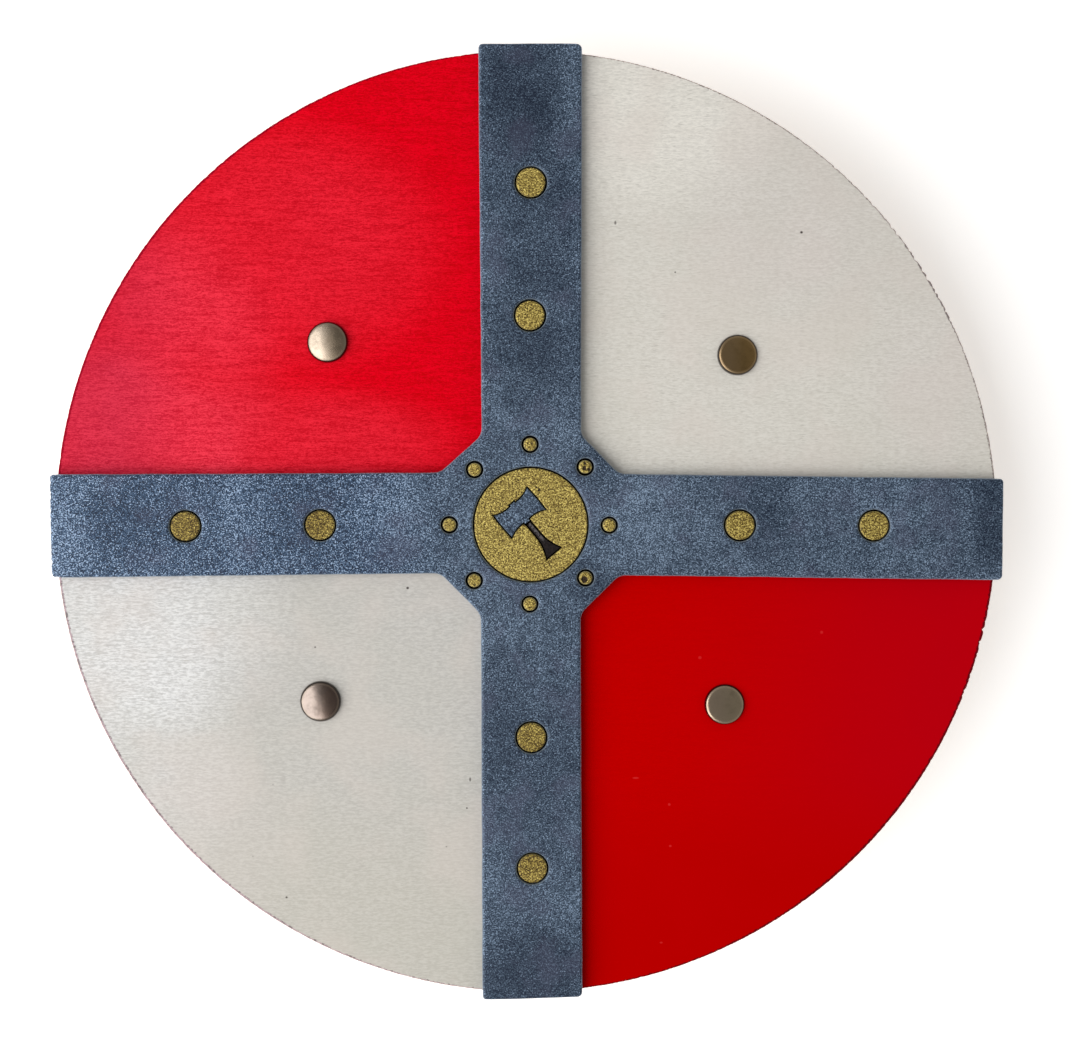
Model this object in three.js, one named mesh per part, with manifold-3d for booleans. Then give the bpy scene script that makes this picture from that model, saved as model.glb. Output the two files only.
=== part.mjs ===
// A round shield of painted plywood with a foam cross on its face and two leather loops behind.
//
// Millimetres. +X runs to the right across the face, +Y up the face, +Z straight out of it.
// The shield lies face up on the flat crowns of its loops, and the origin is below its middle, level
// with those crowns.

import * as THREE from 'three';
import { mergeVertices } from 'three/addons/utils/BufferGeometryUtils.js';
import Module from 'manifold-3d';

const wasm = await Module();
wasm.setup();

// ---------------------------------------------------------------- driving dimensions

const board = { diameter: 370, thickness: 6, arris: 0.6, sides: 96 };

const foamThickness = 5;
const foamEdge = { radius: 1.2, steps: 2 };
const inlayEdge = { radius: 0.5, steps: 1 };
const inlayGap = 0.3;

const crossSpan = { across: 372.8, upright: 374.0 };
const octagonReach = 35;
const octagonFillet = 6.5;
const crossCornerSteps = 3;

// The cross is cut by hand, so each arm is a little out of true. Its width, and how far its middle line
// lies to its left, looking outwards, are given at the octagon (root) and at its end. Each corner of the
// end has its own radius, and may be cut back from the full reach.
const arms = [
  {
    name: 'right',
    heading: 0,
    reach: crossSpan.across / 2,
    width: { root: 39.8, end: 40.1 },
    drift: { root: -0.1, end: -2.4 },
    corners: { right: { cut: 0.3, radius: 2.4 }, left: { cut: 0, radius: 1.9 } },
  },
  {
    name: 'top',
    heading: 90,
    reach: crossSpan.upright / 2,
    width: { root: 39.0, end: 40.5 },
    drift: { root: -0.7, end: -0.5 },
    corners: { right: { cut: 0, radius: 2.7 }, left: { cut: 0.2, radius: 2.2 } },
  },
  {
    name: 'left',
    heading: 180,
    reach: crossSpan.across / 2,
    width: { root: 39.4, end: 40.3 },
    drift: { root: -0.7, end: 0.1 },
    corners: { right: { cut: 0, radius: 1.9 }, left: { cut: 0.4, radius: 1.9 } },
  },
  {
    name: 'bottom',
    heading: 270,
    reach: crossSpan.upright / 2,
    width: { root: 39.1, end: 39.5 },
    drift: { root: 0.3, end: 0.7 },
    corners: { right: { cut: 0, radius: 1.9 }, left: { cut: 0.8, radius: 2.4 } },
  },
];

// Each arm's two studs: how far out they are, and how far to the left of the heading.
const armStudPlace = {
  right: { inner: [82.4, -0.5], outer: [135.2, -0.8] },
  top: { inner: [81.5, -0.2], outer: [133.1, -0.6] },
  left: { inner: [81.7, 0.0], outer: [133.9, 0.3] },
  bottom: { inner: [83.4, 0.5], outer: [135.0, 0.8] },
};

const armStud = { diameter: 11.0, holeDiameter: 12.5, sides: 20 };
const ringStud = { diameter: 5.2, holeDiameter: 6.7, sides: 12, ringRadius: 31 };

// The ring is pricked out by hand too: how far each of its studs is off its true place.
const ringStudSlip = [
  new THREE.Vector2(0.1, -0.3),
  new THREE.Vector2(-0.2, 0.6),
  new THREE.Vector2(0.2, 0.3),
  new THREE.Vector2(0.4, -0.4),
  new THREE.Vector2(-0.4, 0.0),
  new THREE.Vector2(0.2, 0.1),
  new THREE.Vector2(0.0, -0.1),
  new THREE.Vector2(-0.1, 1.0),
];

// The disc sits a little off the middle of the cross, and the axe a little off the middle of the disc.
const disc = { centre: new THREE.Vector2(0.4, 0), diameter: 44, holeDiameter: 45.2, sides: 48 };

// The axe is drawn upright around the middle of its head, then turned and set in its place.
const axe = {
  centre: new THREE.Vector2(-4.0, 4.7),
  turn: THREE.MathUtils.degToRad(40),
  bladeReach: 8.6,
  bladeHalfEdge: 5.9,
  bladeBulge: 0.25,
  waist: 4.2,
  waistPull: new THREE.Vector2(5.6, 3.8),
  eyeHalfWidth: 1.3,
  eyeTop: 4.8,
  eyeBottom: 5.1,
  haftTop: 5.4,
  haftHalfWidth: 1.15,
  flareStart: 15.3,
  footEnd: 20.9,
  footHalfWidth: 3.8,
  curveSteps: 5,
};

const rivet = {
  capDiameter: 15,
  capHeight: 2.6,
  capRim: 0.5,
  domeSteps: 5,
  shankDiameter: 4,
  peenDiameter: 6.4,
  peenHeight: 1.4,
  sides: 18,
};
const rivetHole = { diameter: 4.6, sides: 12 };
const washer = { diameter: 10, thickness: 1.2, sides: 16 };

const strapThickness = 3;
const loopClearance = 40;
const strapBend = { radius: 14, angle: THREE.MathUtils.degToRad(60), steps: 5 };
const strapTab = { inside: 10, outside: 14, cornerRadius: 11, cornerSteps: 4 };

// Each loop runs up the back between two rivets. On the wearer's left arm the grip is at the hand and
// the wider arm strap near the elbow.
const loops = [
  { name: 'grip', width: 28, top: new THREE.Vector2(-78.8, 71.3), bottom: new THREE.Vector2(-82.2, -69.3) },
  { name: 'arm', width: 38, top: new THREE.Vector2(81.8, 66.3), bottom: new THREE.Vector2(76.8, -71.3) },
];

// ---------------------------------------------------------------- heights worked out from them

const boardBack = strapThickness + loopClearance;
const boardFace = boardBack + board.thickness;
const foamTop = boardFace + foamThickness;

// ---------------------------------------------------------------- materials

const finish = (color, roughness, metalness = 0) =>
  new THREE.MeshStandardMaterial({ color, roughness, metalness });

const paintedWood = finish('#c8192a', 0.4);
const blueFoam = finish('#56677c', 0.55, 0.35);
const goldFoam = finish('#9a8448', 0.5, 0.45);
const darkFoam = finish('#2e2733', 0.6);
const agedBrass = finish('#6b5535', 0.35, 0.9);
const leather = finish('#5a3a24', 0.65);

// ---------------------------------------------------------------- outlines

function circlePoints(diameter, sides, centre = new THREE.Vector2()) {
  return Array.from({ length: sides }, (_, i) => {
    const angle = (2 * Math.PI * i) / sides;
    return new THREE.Vector2(Math.cos(angle), Math.sin(angle)).multiplyScalar(diameter / 2).add(centre);
  });
}

/** A closed outline whose corners, each { point, radius }, are rounded in the given number of steps. */
function roundedOutline(corners, steps) {
  return corners.flatMap(({ point, radius }, i) => {
    const toPrevious = corners.at(i - 1).point.clone().sub(point).normalize();
    const toNext = corners[(i + 1) % corners.length].point.clone().sub(point).normalize();
    const reach = radius / Math.tan(Math.acos(toPrevious.dot(toNext)) / 2);
    const start = toPrevious.multiplyScalar(reach).add(point);
    const end = toNext.multiplyScalar(reach).add(point);
    return new THREE.QuadraticBezierCurve(start, point, end).getPoints(steps);
  });
}

const along = (degrees, distance, toLeft = 0) =>
  new THREE.Vector2(distance, toLeft).rotateAround(new THREE.Vector2(), THREE.MathUtils.degToRad(degrees));

function crossOutline() {
  const outline = arms.flatMap(({ heading, reach, width, drift, corners: { right, left } }) => [
    { point: along(heading, octagonReach, drift.root - width.root / 2), radius: octagonFillet },
    { point: along(heading, reach - right.cut, drift.end - width.end / 2), radius: right.radius },
    { point: along(heading, reach - left.cut, drift.end + width.end / 2), radius: left.radius },
    { point: along(heading, octagonReach, drift.root + width.root / 2), radius: octagonFillet },
  ]);
  return roundedOutline(outline, crossCornerSteps);
}

const onDisc = (point) => point.clone().rotateAround(new THREE.Vector2(), axe.turn).add(axe.centre);

/** The double-bitted head with its eye, larger all round by the allowance. */
function axeHeadOutline(allowance = 0) {
  const reach = axe.bladeReach + allowance;
  const edge = axe.bladeHalfEdge + allowance;
  const waist = axe.waist + allowance;
  const eye = axe.eyeHalfWidth + allowance;
  const top = axe.eyeTop + allowance;
  const bottom = axe.eyeBottom + allowance;
  const pull = new THREE.Vector2(axe.waistPull.x, axe.waistPull.y + allowance);
  const shape = new THREE.Shape();
  shape.moveTo(reach, -edge);
  shape.quadraticCurveTo(reach + 2 * axe.bladeBulge, 0, reach, edge);
  shape.quadraticCurveTo(pull.x, pull.y, eye, waist);
  shape.lineTo(eye, top);
  shape.lineTo(-eye, top);
  shape.lineTo(-eye, waist);
  shape.quadraticCurveTo(-pull.x, pull.y, -reach, edge);
  shape.quadraticCurveTo(-reach - 2 * axe.bladeBulge, 0, -reach, -edge);
  shape.quadraticCurveTo(-pull.x, -pull.y, -eye, -waist);
  shape.lineTo(-eye, -bottom);
  shape.lineTo(eye, -bottom);
  shape.lineTo(eye, -waist);
  shape.quadraticCurveTo(pull.x, -pull.y, reach, -edge);
  return shape.getPoints(axe.curveSteps).slice(0, -1).map(onDisc);
}

/** The haft with its flared foot, larger all round by the allowance. */
function axeHaftOutline(allowance = 0) {
  const half = axe.haftHalfWidth + allowance;
  const foot = axe.footHalfWidth + allowance;
  const right = [
    new THREE.Vector2(foot, -axe.footEnd - allowance),
    new THREE.Vector2(half, -axe.flareStart),
    new THREE.Vector2(half, -axe.haftTop + allowance),
  ];
  const left = right.map(({ x, y }) => new THREE.Vector2(-x, y)).reverse();
  return [...right, ...left].map(onDisc);
}

// ---------------------------------------------------------------- solids

/** A closed geometry as a manifold solid, for cutting. */
function solidOf(geometry) {
  const bare = geometry.clone();
  bare.deleteAttribute('normal');
  bare.deleteAttribute('uv');
  const merged = mergeVertices(bare, 1e-4);
  const mesh = new wasm.Mesh({
    numProp: 3,
    vertProperties: Float32Array.from(merged.attributes.position.array),
    triVerts: Uint32Array.from(merged.index.array),
  });
  return new wasm.Manifold(mesh);
}

function geometryOf(solid) {
  const { vertProperties, triVerts } = solid.getMesh();
  const geometry = new THREE.BufferGeometry();
  geometry.setAttribute('position', new THREE.BufferAttribute(vertProperties, 3));
  geometry.setIndex(new THREE.BufferAttribute(triVerts, 1));
  geometry.computeVertexNormals();
  return geometry;
}

/** A straight-sided slab between two heights. */
function slab(outline, bottom, top) {
  const settings = { depth: top - bottom, bevelEnabled: false };
  return new THREE.ExtrudeGeometry(new THREE.Shape(outline), settings).translate(0, 0, bottom);
}

/** A slab whose edges are eased on both faces. */
function easedSlab(outline, bottom, top, holes, { radius, steps }) {
  const shape = new THREE.Shape(outline);
  shape.holes = holes.map((points) => new THREE.Path(points));
  const geometry = new THREE.ExtrudeGeometry(shape, {
    depth: top - bottom - 2 * radius,
    bevelThickness: radius,
    bevelSize: radius,
    bevelOffset: -radius,
    bevelSegments: steps,
  });
  return geometry.translate(0, 0, bottom + radius);
}

const belowTheFace = new THREE.BoxGeometry(2 * board.diameter, 2 * board.diameter, 4 * foamThickness)
  .translate(0, 0, boardFace - 2 * foamThickness);

/** A piece cut from the foam sheet: eased on top, square where it is glued to the board. */
function foamPiece(outline, edge, holes = []) {
  const deep = easedSlab(outline, boardFace - foamThickness, foamTop, holes, edge);
  return solidOf(deep).subtract(solidOf(belowTheFace));
}

function turned(profile, sides) {
  const geometry = new THREE.LatheGeometry(profile.map(([r, z]) => new THREE.Vector2(r, z)), sides);
  return geometry.rotateX(Math.PI / 2);
}

function boardGeometry() {
  const holes = loops.flatMap(({ top, bottom }) => [top, bottom])
    .map((centre) => circlePoints(rivetHole.diameter, rivetHole.sides, centre));
  const edge = { radius: board.arris, steps: 1 };
  return easedSlab(circlePoints(board.diameter, board.sides), boardBack, boardFace, holes, edge);
}

/** A domed cap on the face, the shank through board and leather, and the peened end behind. */
function rivetGeometry() {
  const capRadius = rivet.capDiameter / 2;
  const shankRadius = rivet.shankDiameter / 2;
  const peenRadius = rivet.peenDiameter / 2;
  const peenTop = boardBack - strapThickness - washer.thickness;
  const rimTop = boardFace + rivet.capRim;
  const domeRise = rivet.capHeight - rivet.capRim;
  const dome = Array.from({ length: rivet.domeSteps }, (_, i) => {
    const angle = (Math.PI / 2) * (i / rivet.domeSteps);
    return [capRadius * Math.cos(angle), rimTop + domeRise * Math.sin(angle)];
  });
  return turned([
    [0, peenTop - rivet.peenHeight],
    [0.6 * peenRadius, peenTop - rivet.peenHeight],
    [peenRadius, peenTop - 0.4 * rivet.peenHeight],
    [peenRadius, peenTop],
    [shankRadius, peenTop],
    [shankRadius, boardFace],
    [capRadius, boardFace],
    ...dome,
    [0, rimTop + domeRise],
  ], rivet.sides);
}

function washerGeometry() {
  const inner = rivetHole.diameter / 2;
  const outer = washer.diameter / 2;
  const top = boardBack - strapThickness;
  const bottom = top - washer.thickness;
  const section = [[inner, bottom], [outer, bottom], [outer, top], [inner, top]];
  return turned([...section, section[0]], washer.sides);
}

/** Side view of a loop, as points (along, height): flat tabs, two bends each side, a flat crown. */
function loopProfile(spacing) {
  const { radius, angle, steps } = strapBend;
  const high = boardBack - strapThickness / 2;
  const low = strapThickness / 2;
  const legDrop = high - low - 2 * radius * (1 - Math.cos(angle));
  const upperBend = spacing / 2 - strapTab.inside;
  const lowerBend = upperBend - 2 * radius * Math.sin(angle) - legDrop / Math.tan(angle);
  const stations = [{ along: spacing / 2 + 2 * strapTab.outside, height: high, slope: 0 }];
  for (let i = 0; i <= steps; i += 1) {
    const slope = (angle * i) / steps;
    const height = high - radius * (1 - Math.cos(slope));
    stations.push({ along: upperBend - radius * Math.sin(slope), height, slope });
  }
  for (let i = steps; i >= 0; i -= 1) {
    const slope = (angle * i) / steps;
    const height = low + radius * (1 - Math.cos(slope));
    stations.push({ along: lowerBend + radius * Math.sin(slope), height, slope });
  }
  const side = (offset) => stations.map(({ along: distance, height, slope }) =>
    new THREE.Vector2(distance - offset * Math.sin(slope), height + offset * Math.cos(slope)));
  const bothHalves = (half) => [...half, ...half.map(({ x, y }) => new THREE.Vector2(-x, y)).reverse()];
  const inner = bothHalves(side(strapThickness / 2));
  const outer = bothHalves(side(-strapThickness / 2));
  return [...inner, ...outer.reverse()];
}

/** A loop of leather along Y, its middle on the Z axis, with round-cornered tabs and two rivet holes. */
function loopGeometry({ width, top, bottom }) {
  const spacing = top.distanceTo(bottom);
  const sideView = new THREE.Shape(loopProfile(spacing));
  const strip = new THREE.ExtrudeGeometry(sideView, { depth: 2 * width, bevelEnabled: false });
  strip.translate(0, 0, -width);
  strip.applyMatrix4(new THREE.Matrix4().makeBasis(
    new THREE.Vector3(0, 1, 0), new THREE.Vector3(0, 0, 1), new THREE.Vector3(1, 0, 0)));
  const halfLength = spacing / 2 + strapTab.outside;
  const corners = [[1, -1], [1, 1], [-1, 1], [-1, -1]].map(([x, y]) => (
    { point: new THREE.Vector2(x * width / 2, y * halfLength), radius: strapTab.cornerRadius }));
  const plan = slab(roundedOutline(corners, strapTab.cornerSteps), -strapThickness, boardFace);
  const drills = [1, -1].map((end) => slab(
    circlePoints(rivetHole.diameter, rivetHole.sides, new THREE.Vector2(0, (end * spacing) / 2)),
    boardBack - 2 * strapThickness,
    boardFace,
  ));
  const blank = solidOf(strip).intersect(solidOf(plan));
  return geometryOf(drills.reduce((solid, drill) => solid.subtract(solidOf(drill)), blank));
}

// ---------------------------------------------------------------- the shield

const shield = new THREE.Group();

function addPiece(name, geometry, material) {
  const mesh = new THREE.Mesh(geometry, material);
  mesh.name = name;
  shield.add(mesh);
  return mesh;
}

addPiece('board', boardGeometry(), paintedWood);

const armStuds = arms.flatMap(({ name: arm, heading }) => ['inner', 'outer'].map((place) => {
  const centre = along(heading, ...armStudPlace[arm][place]);
  return { ...armStud, name: `arm_stud_${arm}_${place}`, centre };
}));

const ringStuds = ringStudSlip.map((slip, i) => {
  const centre = along((360 * i) / ringStudSlip.length, ringStud.ringRadius).add(slip);
  return { ...ringStud, name: `ring_stud_${i + 1}`, centre };
});

const studs = [...armStuds, ...ringStuds];

const crossHoles = [
  circlePoints(disc.holeDiameter, disc.sides, disc.centre),
  ...studs.map(({ holeDiameter, sides, centre }) => circlePoints(holeDiameter, sides, centre)),
];
addPiece('cross', geometryOf(foamPiece(crossOutline(), foamEdge, crossHoles)), blueFoam);

for (const { name, diameter, sides, centre } of studs) {
  const plug = foamPiece(circlePoints(diameter, sides, centre), inlayEdge);
  addPiece(name, geometryOf(plug), goldFoam);
}

const axeCutters = [axeHeadOutline(inlayGap), axeHaftOutline(inlayGap)]
  .map((outline) => solidOf(slab(outline, boardFace - foamThickness, foamTop + foamThickness)));
const discSolid = axeCutters.reduce(
  (solid, cutter) => solid.subtract(cutter),
  foamPiece(circlePoints(disc.diameter, disc.sides, disc.centre), inlayEdge),
);
addPiece('centre_disc', geometryOf(discSolid), goldFoam);
addPiece('axe_head', slab(axeHeadOutline(), boardFace, foamTop), blueFoam);
addPiece('axe_haft', slab(axeHaftOutline(), boardFace, foamTop - inlayGap), darkFoam);

for (const loop of loops) {
  for (const end of ['top', 'bottom']) {
    const { x, y } = loop[end];
    addPiece(`rivet_${loop.name}_${end}`, rivetGeometry(), agedBrass).position.set(x, y, 0);
    addPiece(`washer_${loop.name}_${end}`, washerGeometry(), agedBrass).position.set(x, y, 0);
  }
  const run = loop.top.clone().sub(loop.bottom);
  const middle = loop.top.clone().add(loop.bottom).divideScalar(2);
  const strap = addPiece(`${loop.name}_strap`, loopGeometry(loop), leather);
  strap.position.set(middle.x, middle.y, 0);
  strap.rotation.z = run.angle() - Math.PI / 2;
}

export default shield;
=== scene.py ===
"""The looks of the round shield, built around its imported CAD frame."""

import math

import bmesh
import bpy
from mathutils import Matrix, Vector, noise


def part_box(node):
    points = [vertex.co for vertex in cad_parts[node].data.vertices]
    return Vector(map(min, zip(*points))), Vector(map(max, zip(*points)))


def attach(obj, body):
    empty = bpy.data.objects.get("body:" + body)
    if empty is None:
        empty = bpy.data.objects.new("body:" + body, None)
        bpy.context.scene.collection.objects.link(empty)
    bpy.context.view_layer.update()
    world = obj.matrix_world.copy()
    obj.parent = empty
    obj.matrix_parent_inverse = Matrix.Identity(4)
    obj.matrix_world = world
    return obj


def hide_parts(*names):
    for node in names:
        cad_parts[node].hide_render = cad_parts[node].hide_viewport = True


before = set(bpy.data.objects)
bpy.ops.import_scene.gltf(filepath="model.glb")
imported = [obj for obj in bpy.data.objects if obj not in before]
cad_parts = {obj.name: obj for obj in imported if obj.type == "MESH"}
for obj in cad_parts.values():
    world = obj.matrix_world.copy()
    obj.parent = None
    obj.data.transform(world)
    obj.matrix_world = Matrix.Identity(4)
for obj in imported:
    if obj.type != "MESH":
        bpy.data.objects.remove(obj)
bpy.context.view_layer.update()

MM = 0.001

# ---------------------------------------------------------------- what the frame says

BOARD_LOW, BOARD_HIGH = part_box("board")
FACE = BOARD_HIGH.z
BACK = BOARD_LOW.z
FOAM_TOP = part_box("cross")[1].z
BOARD_RADIUS = BOARD_HIGH.x

LOOPS = ("grip", "arm")
ENDS = ("top", "bottom")
ARM_STUDS = sorted(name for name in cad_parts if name.startswith("arm_stud_"))
RING_STUDS = sorted(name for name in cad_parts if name.startswith("ring_stud_"))


def middle(node):
    """The middle of a CAD node's box."""
    low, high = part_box(node)
    return (low + high) / 2


AXE_EYE = middle("axe_head")
AXE_DOWN = (middle("axe_haft") - AXE_EYE).normalized()
RIVET_PLACES = [middle(f"washer_{loop}_{end}") for loop in LOOPS for end in ENDS]

# ---------------------------------------------------------------- node trees


class Shader:
    """A procedural material around one principled shader; values may be numbers or sockets."""

    def __init__(self, name, **values):
        self.material = bpy.data.materials.new(name)
        self.material.use_nodes = True
        self.tree = self.material.node_tree
        self.tree.nodes.clear()
        self.surface = self.tree.nodes.new("ShaderNodeBsdfPrincipled")
        output = self.tree.nodes.new("ShaderNodeOutputMaterial")
        self.tree.links.new(self.surface.outputs["BSDF"], output.inputs["Surface"])
        for socket, value in values.items():
            self.set(socket.replace("_", " "), value)
        self.place = self.node("ShaderNodeTexCoord").outputs["Object"]

    def set(self, socket, value):
        """Sets a socket of the principled shader."""
        self.feed(self.surface.inputs[socket], value)

    def feed(self, socket, value):
        """Links a socket to an input, or writes a plain value or colour on it."""
        if isinstance(value, bpy.types.NodeSocket):
            self.tree.links.new(value, socket)
        elif socket.type == "RGBA" and len(value) == 3:
            socket.default_value = (*value, 1)
        else:
            socket.default_value = value

    def node(self, kind, inputs=(), **settings):
        """A new node, with its inputs by name or number."""
        made = self.tree.nodes.new(kind)
        for key, value in settings.items():
            setattr(made, key, value)
        for key, value in dict(inputs).items():
            self.feed(made.inputs[key], value)
        return made

    def math(self, operation, *values):
        return self.node("ShaderNodeMath", enumerate(values), operation=operation).outputs[0]

    def add(self, a, b):
        return self.math("ADD", a, b)

    def minus(self, a, b):
        return self.math("SUBTRACT", a, b)

    def times(self, a, b):
        return self.math("MULTIPLY", a, b)

    def blend(self, share, first, second):
        """Two values added up, the second with the given share and the first with what it leaves."""
        return self.add(self.times(first, 1 - share), self.times(second, share))

    def ramp(self, value, low, high, start=0.0, end=1.0):
        """Start to end, smoothly, as the value goes from low to high."""
        inputs = {"Value": value, "From Min": low, "From Max": high, "To Min": start, "To Max": end}
        return self.node("ShaderNodeMapRange", inputs, interpolation_type="SMOOTHSTEP").outputs["Result"]

    def mix(self, share, first, second):
        """The first colour, with the given share of the second over it."""
        made = self.node("ShaderNodeMix", data_type="RGBA")
        for socket, value in ((0, share), (6, first), (7, second)):
            self.feed(made.inputs[socket], value)
        return made.outputs[2]

    def axis(self, letter):
        """The place in the object along one axis, in metres."""
        return self.node("ShaderNodeSeparateXYZ", {0: self.place}).outputs[letter]

    def attribute(self, name):
        """A number that the mesh carries at its vertices."""
        return self.node("ShaderNodeAttribute", attribute_name=name).outputs["Fac"]

    def scaled(self, scale, shift=(0, 0, 0)):
        """The place in the object, scaled by a vector and moved."""
        inputs = {"Vector": self.place, "Scale": scale, "Location": shift}
        return self.node("ShaderNodeMapping", inputs).outputs["Vector"]

    def noise(self, size, detail=2.0, roughness=0.5, shift=(0, 0, 0), distortion=0.0):
        """Noise whose grain is about size metres, or (x, y, z) metres."""
        sizes = size if hasattr(size, "__len__") else (size,) * 3
        inputs = {
            "Vector": self.scaled([1 / s for s in sizes], shift),
            "Scale": 1.0,
            "Detail": detail,
            "Roughness": roughness,
            "Distortion": distortion,
        }
        return self.node("ShaderNodeTexNoise", inputs).outputs["Fac"]

    def cells(self, size, feature="F1"):
        """The node of a cell pattern with cells of about size metres."""
        inputs = {"Vector": self.scaled((1 / size,) * 3), "Scale": 1.0}
        return self.node("ShaderNodeTexVoronoi", inputs, feature=feature)

    def lot(self, cells):
        """A number from 0 to 1 that is drawn for each cell."""
        return self.node("ShaderNodeSeparateColor", {0: cells.outputs["Color"]}).outputs[0]

    def specks(self, spacing, radius, share):
        """1 inside scattered round specks: one in each cell, of which only a share are kept."""
        cells = self.cells(spacing)
        kept = self.math("LESS_THAN", self.lot(cells), share)
        inside = self.ramp(cells.outputs["Distance"], radius / spacing, 0.6 * radius / spacing)
        return self.times(kept, inside)

    def spot(self, x, y, reach_x, reach_y):
        """1 in the middle of a soft elliptical patch, 0 outside it; all in metres."""
        across = self.math("DIVIDE", self.minus(self.axis("X"), x), reach_x)
        up = self.math("DIVIDE", self.minus(self.axis("Y"), y), reach_y)
        distance = self.add(self.times(across, across), self.times(up, up))
        return self.ramp(distance, 1.0, 0.0)

    def distance_to(self, x, y):
        """Level distance to an upright line at x, y."""
        across, up = self.minus(self.axis("X"), x), self.minus(self.axis("Y"), y)
        return self.math("SQRT", self.add(self.times(across, across), self.times(up, up)))

    def patches(self, table):
        """Soft patches from a table of x, y, reach in x and y (mm) and share, added up."""
        total = None
        for x, y, reach_x, reach_y, share in table:
            patch = self.times(self.spot(x * MM, y * MM, reach_x * MM, reach_y * MM), share)
            total = patch if total is None else self.add(total, patch)
        return total

    def bump(self, height, strength, depth, under=None):
        """The normal over a relief that is depth metres deep, on top of another normal if given."""
        inputs = {"Height": height, "Strength": strength, "Distance": depth}
        if under is not None:
            inputs["Normal"] = under
        return self.node("ShaderNodeBump", inputs).outputs["Normal"]


# ---------------------------------------------------------------- painted face

# The coats, and the painted sheen and painted light laid over them, each as its darker and its lighter tone
# along the grain.
WORN_RED = ((0.53, 0.0, 0.003), (0.80, 0.0, 0.012))
SHEEN_RED = ((0.58, 0.010, 0.030), (0.91, 0.046, 0.082))
FAR_LEFT_SHEEN_RED = ((0.46, 0.014, 0.042), (0.66, 0.034, 0.074))
DEEP_RED = ((0.465, 0.0, 0.0), (0.50, 0.0, 0.0))
UPPER_WHITE = ((0.58, 0.558, 0.506), (0.665, 0.645, 0.596))
LOWER_WHITE = ((0.465, 0.453, 0.428), (0.565, 0.551, 0.52))
LOWEST_WHITE = ((0.48, 0.46, 0.40), (0.55, 0.53, 0.475))
LIT_LOWER_WHITE = ((0.545, 0.545, 0.54), (0.775, 0.778, 0.775))
LIT_UPPER_WHITE = ((0.65, 0.63, 0.585), (0.78, 0.755, 0.70))
WARM_WHITE = ((0.55, 0.505, 0.485), (0.645, 0.60, 0.575))
GLUE = (0.012, 0.010, 0.010)

# Soft patches of painted sheen and painted light (the paler tones), of the warmer coat, and of painted shade
# on raised fibres: x, y, reach in x and y (mm), share.
RED_SHEEN_PATCHES = (
    (-175, 20, 70, 60, 0.8), (-150, 60, 60, 70, 0.6), (-100, 30, 85, 30, 0.5), (-105, 108, 85, 60, 0.4),
)
WHITE_LIGHT_PATCHES = (
    (-160, -35, 75, 55, 0.9), (-150, -90, 45, 60, 0.5), (50, 160, 60, 45, 0.95), (90, 60, 50, 40, 0.1),
)
WARM_WHITE_PATCHES = ((110, 120, 60, 50, 0.4), (162, 60, 38, 60, 0.3), (-130, -125, 45, 45, 0.4))
FIBRE_SHADE_PATCHES = ((-150, -45, 70, 60, 0.45),)

# Small marks in the white and in the red coat, and places where the rim is knocked, in the same way.
DARK_MARKS = (
    (-47.9, -24.9, 0.75, 0.65, 1.0), (-84.2, -48.0, 0.5, 0.45, 0.8), (-101.0, -102.0, 0.5, 0.5, 0.3),
    (-109.0, -130.3, 0.5, 0.4, 0.3), (-95.9, -146.6, 0.6, 0.55, 0.9), (-82.0, -156.0, 0.5, 0.5, 0.2),
    (-23.6, -100.5, 0.5, 1.1, 0.8), (-24.9, -111.8, 0.5, 0.5, 0.9), (-33.0, -127.0, 0.5, 0.4, 0.5),
    (33.8, 118.0, 0.6, 1.0, 0.75), (57.3, 98.7, 0.45, 0.45, 0.85), (107.0, 114.4, 0.75, 0.65, 1.0),
)
PALE_MARKS = (
    (67.1, -52.8, 0.9, 0.8, 0.5), (115.3, -43.0, 0.8, 0.8, 0.5), (41.7, -100.3, 1.6, 0.5, 0.6),
    (55.0, -110.9, 0.7, 0.7, 0.6), (55.4, -127.4, 0.7, 0.6, 0.6), (51.8, -165.8, 0.8, 0.5, 0.5),
)
KNOCKS = ((172, -40, 18, 40, 0.45), (160, 95, 22, 30, 0.5))

# A faint dark line, a painted reflection of a straight edge in the gloss, passes through this point and
# rises slowly to the right.
REFLECTION_X, REFLECTION_Y, REFLECTION_RISE = -155.6 * MM, 90.8 * MM, 0.2465

# What the arms and the middle of the cross cover for certain, from the shield's middle lines.
COVERED_BY_ARM = 16.5 * MM
COVERED_BY_MIDDLE = 51 * MM


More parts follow.
